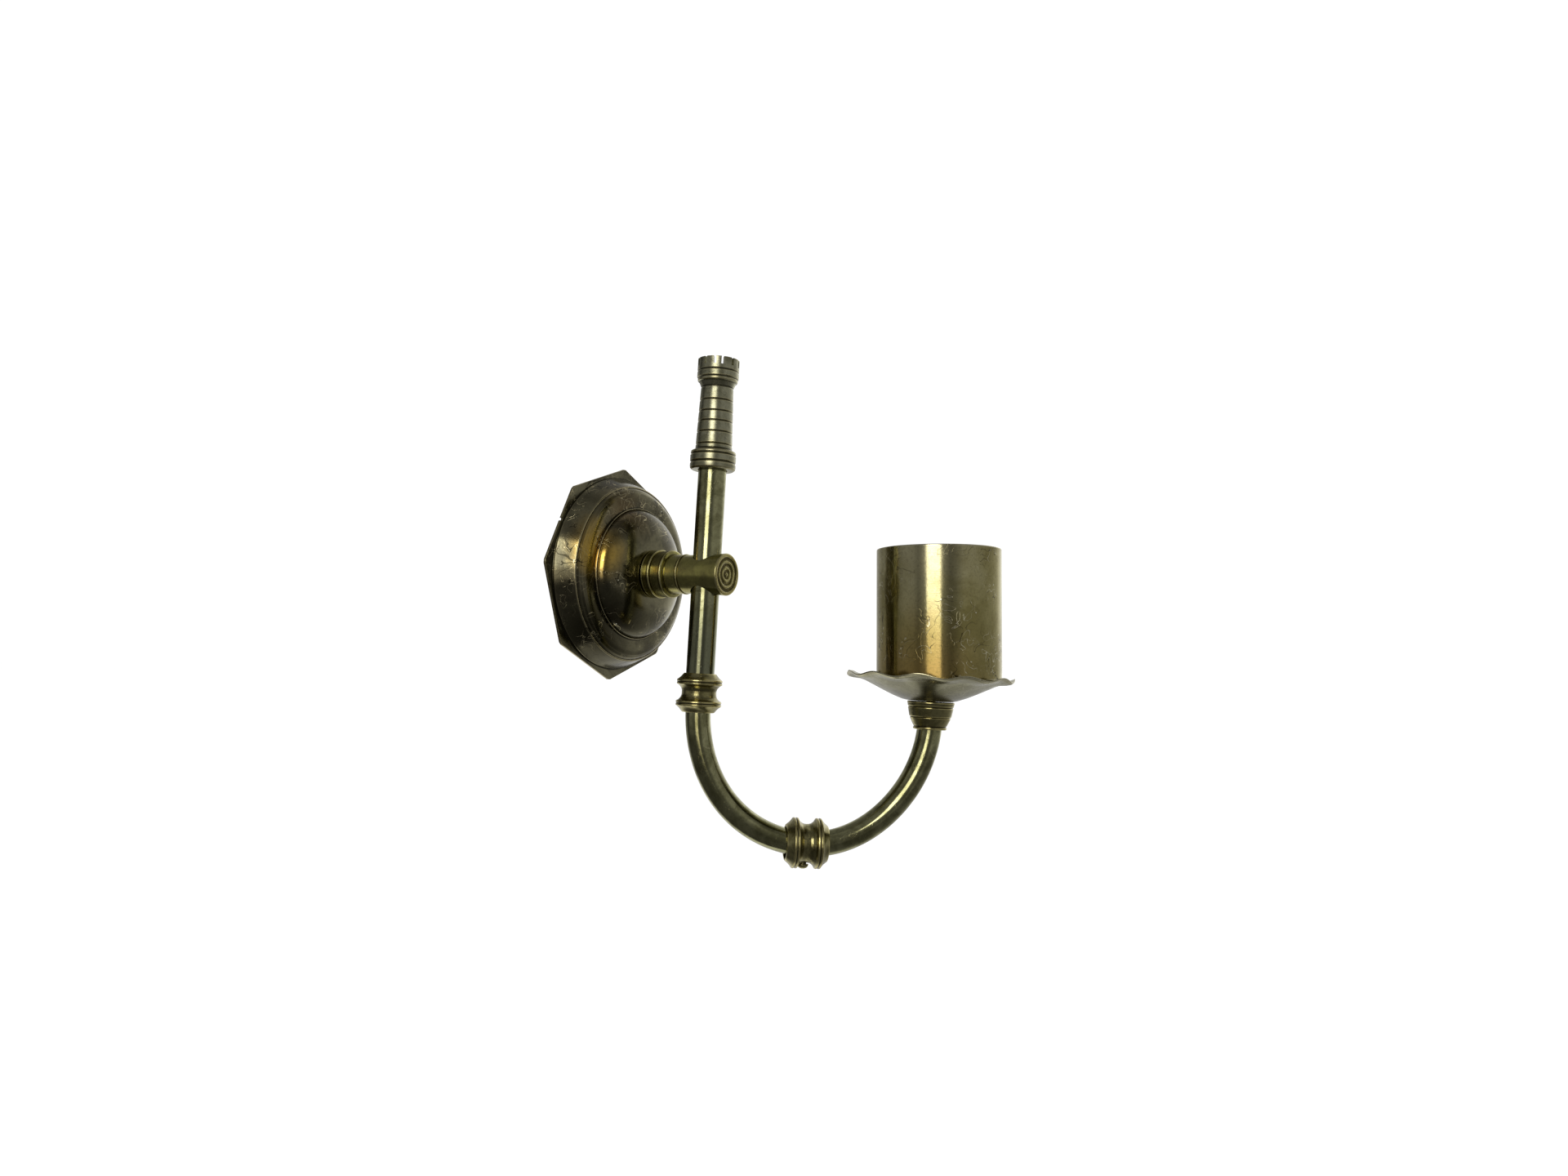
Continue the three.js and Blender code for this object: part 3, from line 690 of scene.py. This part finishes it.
# ---- finial ----
# A turned brass castle tower on top of the stem: a ringed collar, a tapering shaft scored five
# times, and a crown whose battlements are sawn by hand, not quite evenly.
FINIAL_FOOT = 44.4
FINIAL_TOP = 92.0
CROWN_FLOOR = FINIAL_TOP - 3.4
CROWN_TURN = -93.7
SHAFT_FOOT = 53.2
SHAFT_LENGTH = 26.1
SHAFT_RADIUS = 7.85
SHAFT_TAPER = 0.9
SCORE_DEPTH = 0.4
shaft = []
for score in (55.1, 60.4, 65, 69.3, 74.1):
    radius = SHAFT_RADIUS - SHAFT_TAPER * (score - SHAFT_FOOT) / SHAFT_LENGTH
    shaft += [
        (radius, score - SCORE_DEPTH),
        (radius - SCORE_DEPTH, score),
        (radius, score + SCORE_DEPTH),
    ]
finial = lathe("finial_tower", [
    (0, 58.7),
    (4.8, 58.7),
    (4.8, 51.7),
    (6.3, 51.7),
    (6.3, FINIAL_FOOT),
    (8.9, FINIAL_FOOT),
    (9.6, 45),
    (9.75, 45.9),
    (9.7, 47),
    (9.2, 47.5),
    (9.75, 48),
    (9.75, 50.4),
    (9.2, 50.9),
    (9.7, 51.4),
    (9.5, 52.3),
    (8.3, 52.9),
    (SHAFT_RADIUS, SHAFT_FOOT),
    *shaft,
    (6.95, 79.3),
    (6.75, 79.8),
    (7.1, 80.3),
    (7.6, 81.5),
    (7.9, 82.1),
    (8.5, 82.5),
    (8.6, 83.3),
    (8.4, 83.7),
    (8.9, 84.1),
    (8.9, 86.3),
    (8.55, 86.75),
    (8.9, 87.2),
    (8.9, FINIAL_TOP),
    (6.5, FINIAL_TOP),
    (6.5, CROWN_FLOOR),
    (0, CROWN_FLOOR),
])
saw_cuts = []
for degrees in (-39, -11.5, 10.5, 41, 72, 103, 134, 165, 196, 227, 258, 289):
    swing = Matrix.Rotation(radians(degrees + CROWN_TURN), 4, "Z")
    saw_cuts.append(block((5, 1.15, 8), swing @ Matrix.Translation((7.7, 0, CROWN_FLOOR + 4.1))))
combine(finial, saw_cuts)
# Scored brass under a grey-olive patina: a broad, soft shine, with dark lines in the scores.
finial_brass = aged_brass(
    "scored_olive_brass", "#aeac90", "#908e72", "#37321f", "#cbc296", roughness=0.27, cloud=8,
    rings=0.5, pits=0.4,
)
seat(finial, ARM, finial_brass)
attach(finial, "arm")
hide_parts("finial")

# ---- hidden studs, riser and screw ----
# Plain brass pieces that are out of sight once the sconce is built: the stud under the finial, a
# nipple inside each knop, and the riser, washer and screw that clamp the cup and pan to the neck.
# Machined brass under thin tarnish looks dull yellow.
plain_brass = aged_brass(
    "plain_machined_brass", "#b5a664", "#968a52", "#4f4628", "#d3c792", cloud=9, metres=True
)
plate(("finial_stud", "mid_nipple", "bottom_nipple"), plain_brass)
plate(("cup_riser", "cup_washer", "cup_screw"), plain_brass)

# ---- mid knop ----
# A turned brass sleeve with two ringed flanges and a hollow waist. It slips over the joint of stem
# and bend, which a nipple inside holds together.
KNOP_HALF = [
    (7.26, 0),
    (7.3, 0.9),
    (7.6, 1.8),
    (8.1, 2.5),
    (8.6, 3),
    (9.5, 3.5),
    (9.6, 4),
    (9.35, 4.45),
    (9.6, 4.9),
    (9.55, 5.4),
    (8.6, 6.1),
    (7.85, 6.8),
    (7.3, 7.5),
    (6.75, 8.15),
]


def knop_profile(scale, bore):
    """The knop's half profile, mirrored about its waist, with its bore."""
    upper = [(radius * scale, height * scale) for radius, height in KNOP_HALF]
    lower = [(radius, -height) for radius, height in upper[:0:-1]]
    end = KNOP_HALF[-1][1] * scale
    return [(bore, -end), *lower, *upper, (bore, end), (bore, -end)]


# Turned brass gone olive: thin pale lines on the ridges and dark hollows between them.
knop_brass = aged_brass(
    "turned_knop_brass", "#b0a876", "#878055", "#332d19", "#ddd092", roughness=0.2, cloud=8,
    rings=0.5, pits=0.3,
)
mid_knop = lathe("mid_knop_sleeve", knop_profile(1, TUBE_RADIUS + AIR))
seat(mid_knop, ARM @ Matrix.Translation((0, 0, KNOP_CENTRE * MM)), knop_brass)
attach(mid_knop, "arm")
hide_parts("mid_knop")

# ---- bent tubes ----
# Two lengths of the same tube bent to a half ellipse, one from the stem and one up to the pan.
# Bending has squeezed them slightly oval and left the first a little fuller than the second.
REACH_HALF = 50.0
BEND_TOP = -55.5
BEND_DEPTH = 55.4
LOWEST = BEND_TOP - BEND_DEPTH
TUBE_FLAT = 5.3
BEND_BULGE = 0.7
TUBE_SIDES = 48


def bent_tube(name, direction, start, top):
    """A tube from the bottom joint up to a height, and where each point lies if it were straight."""
    first = asin(start * direction / REACH_HALF)
    bend = (pi / 2 - first) * REACH_HALF
    length = bend + top - BEND_TOP
    # A section each millimetre.
    stations = int(length)
    points, lay, faces = [], [], []
    for i in range(stations + 1):
        run = length * i / stations
        if run > bend:
            centre = Vector((REACH_HALF * (1 + direction), 0, BEND_TOP + run - bend))
            along = Vector((0, 0, 1))
        else:
            angle = first + run / REACH_HALF
            bulge = -direction * BEND_BULGE * sin(2 * angle) ** 2
            centre = Vector((
                REACH_HALF + direction * (REACH_HALF + bulge) * sin(angle),
                0,
                BEND_TOP - (BEND_DEPTH + bulge) * cos(angle),
            ))
            along = Vector((direction * REACH_HALF * cos(angle), 0, BEND_DEPTH * sin(angle)))
            along.normalize()
        inward = Vector((-along.z, 0, along.x))
        for k in range(TUBE_SIDES):
            turn = 2 * pi * k / TUBE_SIDES
            offset = inward * TUBE_FLAT * sin(turn) + Vector((0, TUBE_RADIUS * cos(turn), 0))
            points.append(centre + offset)
            lay.append((TUBE_RADIUS * cos(turn), TUBE_RADIUS * sin(turn), run))
    for i in range(stations):
        for k in range(TUBE_SIDES):
            n = (k + 1) % TUBE_SIDES
            base = i * TUBE_SIDES
            faces.append((base + k, base + n, base + n + TUBE_SIDES, base + k + TUBE_SIDES))
    faces.append(tuple(reversed(range(TUBE_SIDES))))
    faces.append(tuple(range(stations * TUBE_SIDES, (stations + 1) * TUBE_SIDES)))
    return solid(name, points, faces, [0.0] * len(points)), lay


# How far past the middle of the bend the two tubes meet, and where the outer one ends in the neck.
TUBES_MEET = 1.3
OUTER_TOP = -54.4
for node, direction, start, top in (
    ("inner_arm_tube", -1, TUBES_MEET - AIR, KNOP_CENTRE - AIR),
    ("outer_arm_tube", 1, TUBES_MEET + AIR, OUTER_TOP),
):
    tube, lay = bent_tube(node + "_bend", direction, start, top)
    seat(tube, ARM, tube_brass, lay)
    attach(tube, "arm")
    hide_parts(node)

# ---- bottom knop and its lock screw ----
# A slightly bigger brass knop over the joint at the lowest point of the bend, a little off its
# middle. A small round-headed brass screw locks it from below.
KNOP_SCALE = 1.1
KNOP_BORE = 6.8
LOCK_SCREW_AT = 47.8
LOCK_HEAD = 2.45
LOCK_SHANK = 1.5
KNOP_SHIFT = -1.2
KNOP_LIFT = 0.3
LOCK_SEAT = LOWEST - 8.3
bottom_knop = lathe("bottom_knop_sleeve", knop_profile(KNOP_SCALE, KNOP_BORE))
on_its_side = Matrix.Translation((REACH_HALF + KNOP_SHIFT, 0, LOWEST + KNOP_LIFT))
on_its_side = on_its_side @ Matrix.Rotation(pi / 2, 4, "Y")
under = on_its_side.inverted() @ Matrix.Translation((LOCK_SCREW_AT, 0, 0))
lock_pocket = lathe("cutter", [
    (0, LOCK_SEAT - 5),
    (LOCK_HEAD + AIR, LOCK_SEAT - 5),
    (LOCK_HEAD + AIR, LOCK_SEAT + AIR),
    (LOCK_SHANK + AIR, LOCK_SEAT + AIR),
    (LOCK_SHANK + AIR, LOWEST + 1),
    (0, LOWEST + 1),
], 32)
lock_pocket.matrix_world = under
combine(bottom_knop, [lock_pocket])
bottom_place = on_its_side.copy()
bottom_place.translation *= MM
seat(bottom_knop, ARM @ bottom_place, knop_brass)
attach(bottom_knop, "arm")
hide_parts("bottom_knop")

lock_screw = lathe("lock_screw_head", [
    (0, LOCK_SEAT - 2),
    (0.9, LOCK_SEAT - 1.92),
    (1.7, LOCK_SEAT - 1.6),
    (2.25, LOCK_SEAT - 1),
    (LOCK_HEAD, LOCK_SEAT - 0.3),
    (LOCK_HEAD, LOCK_SEAT),
    (LOCK_SHANK, LOCK_SEAT),
    (LOCK_SHANK, LOWEST - 1),
    (0, LOWEST - 1),
], 32)
seat(lock_screw, ARM @ Matrix.Translation((LOCK_SCREW_AT * MM, 0, 0)), knop_brass)
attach(lock_screw, "arm")
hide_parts("knop_lock_screw")

# ---- neck ----
# A turned brass cone, scored three times, fixed over the free end of the arm. The pan sits on its
# flat top.
ARM_REACH = 2 * REACH_HALF
NECK_FOOT = -60.4
NECK_TOP = -48.5
SCREW_BORE = 2.3
TUBE_END = OUTER_TOP + AIR
neck = lathe("neck_cone", [
    (TUBE_RADIUS + AIR, NECK_FOOT),
    (6.9, NECK_FOOT),
    (7.2, -60.1),
    (7.2, -59.6),
    (6.9, -59.2),
    (7.6, -58),
    (8.8, -55.5),
    (8.5, -55.2),
    (9.05, -54.8),
    (9.75, -51.2),
    (9.45, -50.8),
    (9.9, -50.4),
    (10.05, -49.4),
    (10.2, -49.2),
    (10.2, -48.8),
    (10, NECK_TOP),
    (SCREW_BORE, NECK_TOP),
    (SCREW_BORE, TUBE_END),
    (TUBE_RADIUS + AIR, TUBE_END),
    (TUBE_RADIUS + AIR, NECK_FOOT),
])
seat(neck, ARM @ Matrix.Translation((ARM_REACH * MM, 0, 0)), knop_brass)
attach(neck, "arm")
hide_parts("neck_ferrule")

# ---- drip pan ----
# A dish spun from 1 mm brass sheet, its thinned rim pressed into eleven shallow lobes. It is
# clamped between the neck and the riser under the cup.
PAN_RADIUS = 35.95
PAN_LOBES = 11
PAN_SHIFT = -0.8
PAN_FOOT = -48.2
FRILL_START = 27.0
FRILL_RISE = 0.8
FRILL_TURN = 112.6
pan_under = [
    (3.1, 0),
    (10, 0),
    (12, 0.45),
    (16, 1.9),
    (20, 3.7),
    (24, 5.6),
    (28, 7.5),
    (30, 8.3),
    (33, 8.8),
    (35, 9.4),
    (PAN_RADIUS, 10.2),
]
# The height of metal above each of those points.
sheet = (1, 1, 1.05, 1.1, 1.1, 1.1, 1.1, 1.05, 1, 0.9, 0.5)
pan_over = [(radius, height + thick) for (radius, height), thick in zip(pan_under, sheet)]


def frill(radius, height, angle):
    """Lifts and drops the rim in eleven waves."""
    reach = max(0.0, radius - FRILL_START) / (PAN_RADIUS - FRILL_START)
    return radius, height + FRILL_RISE * reach * cos(PAN_LOBES * (angle + radians(FRILL_TURN)))


pan = lathe("drip_pan_dish", [*pan_under, *pan_over[::-1], pan_under[0]], 264, frill)
# Spun sheet under a grey patina: a broad, soft shine, with painted shade, dark brown, round the neck.
pan_brass = aged_brass(
    "spun_sheet_brass", "#a8a482", "#868262", "#3a3829", "#cdc6a4", roughness=0.25, cloud=12,
    # Painted shade: dark brown round the neck.
    rings=0.5, pits=0.4, zones=(((0, 0, 0), 34, "#332d1e", 0.9),),
)
pan_place = Matrix.Translation(((ARM_REACH + PAN_SHIFT) * MM, 0, PAN_FOOT * MM))
seat(pan, ARM @ pan_place, pan_brass)
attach(pan, "arm")
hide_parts("drip_pan")

# ---- candle cup ----
# A plain cup of 1.2 mm brass for a 50 mm pillar candle, brushed round and lightly scratched by use.
# A well in its floor takes the head of the screw. It stands a little off the neck and leans.
CUP_RADIUS = 26.95
CUP_HEIGHT = 56.8
CUP_WALL = 1.2
CUP_SHIFT = 3.1
CUP_FOOT = -39.3
CUP_LEAN = 2.8
CUP_HOLE = 2.6
WELL_RADIUS = 7.3
WELL_DEPTH = 4.8
cup = lathe("candle_cup_shell", [
    (0, 0),
    (CUP_RADIUS - 0.6, 0),
    (CUP_RADIUS, 0.6),
    (CUP_RADIUS, CUP_HEIGHT - 0.3),
    (CUP_RADIUS - 0.3, CUP_HEIGHT),
    (CUP_RADIUS - CUP_WALL + 0.3, CUP_HEIGHT),
    (CUP_RADIUS - CUP_WALL, CUP_HEIGHT - 0.3),
    (CUP_RADIUS - CUP_WALL, CUP_WALL),
    (0, CUP_WALL),
], 160)
well_outside = WELL_RADIUS + CUP_WALL
well = lathe("well", [
    (0, -WELL_DEPTH),
    (well_outside, -WELL_DEPTH),
    (well_outside, CUP_WALL / 2),
    (0, CUP_WALL / 2),
], 64)
well_floor = CUP_WALL - WELL_DEPTH
hollow = lathe("cutter", [
    (0, -WELL_DEPTH - 1),
    (CUP_HOLE, -WELL_DEPTH - 1),
    (CUP_HOLE, well_floor),
    (WELL_RADIUS, well_floor),
    (WELL_RADIUS, CUP_WALL + 1),
    (0, CUP_WALL + 1),
], 64)
for cutter in (well, hollow):
    cutter.matrix_world = Matrix.Translation((-CUP_SHIFT, 0, 0))
combine(cup, [well], "UNION")
combine(cup, [hollow])
# Brushed brass under thin patina: one tall bright streak where it mirrors the window, with painted
# highlight colour on that side, pale near the rim and golden lower down, and faint rings round the
# cup, scratches and bright nicks.
cup_brass = aged_brass(
    "brushed_cup_brass", "#b2a974", "#998f5a", "#4a4128", "#e6dfc0", roughness=0.13, cloud=26,
    rings=0.35, pits=0.3, scuffs=0.8,
    zones=(
        # Painted highlight: pale near the rim on the side facing the window.
        ((-14, -22, 56), 36, "#cbc4a0", 0.75),
        # Painted highlight: golden and darker lower down on the side facing the window.
        ((-14, -22, -4), 40, "#aa8d50", 0.8),
    ),
)
cup_place = Matrix.Translation(((ARM_REACH + CUP_SHIFT) * MM, 0, CUP_FOOT * MM))
cup_place = cup_place @ Matrix.Rotation(radians(-CUP_LEAN), 4, "Y")
seat(cup, ARM @ cup_place, cup_brass)
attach(cup, "arm")
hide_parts("candle_cup")
